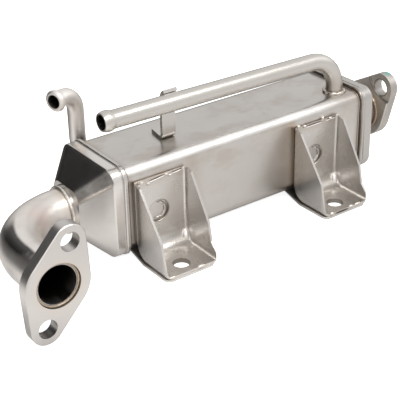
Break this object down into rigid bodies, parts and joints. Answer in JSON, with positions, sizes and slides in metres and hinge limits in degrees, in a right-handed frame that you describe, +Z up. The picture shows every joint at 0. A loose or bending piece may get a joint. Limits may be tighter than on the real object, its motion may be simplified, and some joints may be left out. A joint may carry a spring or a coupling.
{
  "type": "egr cooler",
  "caption": "Shell-and-tube exhaust gas cooler with an elbowed inlet, two-bolt flanges, pressed mounting brackets and coolant pipes.",
  "frame": {"origin": "midway between the two foot bolt holes, on the underside of the foot plates", "axes": "+X along the shell from gas inlet to gas outlet, -Y towards the bracket side, +Z up away from the mounting plane"},
  "size_m": [0.2699, 0.1003, 0.0817],
  "materials": {
    "shell_steel": "satin stainless sheet, brown heat tint at the welds",
    "tube_steel": "smooth drawn stainless tube",
    "bracket_steel": "satin pressed stainless sheet",
    "flange_steel": "satin stainless plate, straw tint round the bore",
    "inner_steel": "dull brazed stainless"
  },
  "bodies": {
    "root": {"baffle_1": "inner_steel", "baffle_2": "inner_steel", "bracket_inlet_side": "bracket_steel", "bracket_outlet_side": "bracket_steel", "coolant_inlet_pipe": "tube_steel", "coolant_outlet_pipe": "tube_steel", "foot_plate_inlet_side": "bracket_steel", "foot_plate_outlet_side": "bracket_steel", "gas_tube_01": "inner_steel", "gas_tube_02": "inner_steel", "gas_tube_03": "inner_steel", "gas_tube_04": "inner_steel", "gas_tube_05": "inner_steel", "gas_tube_06": "inner_steel", "gas_tube_07": "inner_steel", "gas_tube_08": "inner_steel", "gas_tube_09": "inner_steel", "gas_tube_10": "inner_steel", "gas_tube_11": "inner_steel", "gas_tube_12": "inner_steel", "gas_tube_13": "inner_steel", "gas_tube_14": "inner_steel", "gas_tube_15": "inner_steel", "gas_tube_16": "inner_steel", "inlet_elbow": "tube_steel", "inlet_flange": "flange_steel", "inlet_header": "shell_steel", "inlet_tube_plate": "shell_steel", "outlet_flange": "flange_steel", "outlet_header": "shell_steel", "outlet_pipe": "tube_steel", "outlet_tube_plate": "shell_steel", "pipe_clip": "bracket_steel", "shell": "shell_steel"}
  },
  "joints": []
}
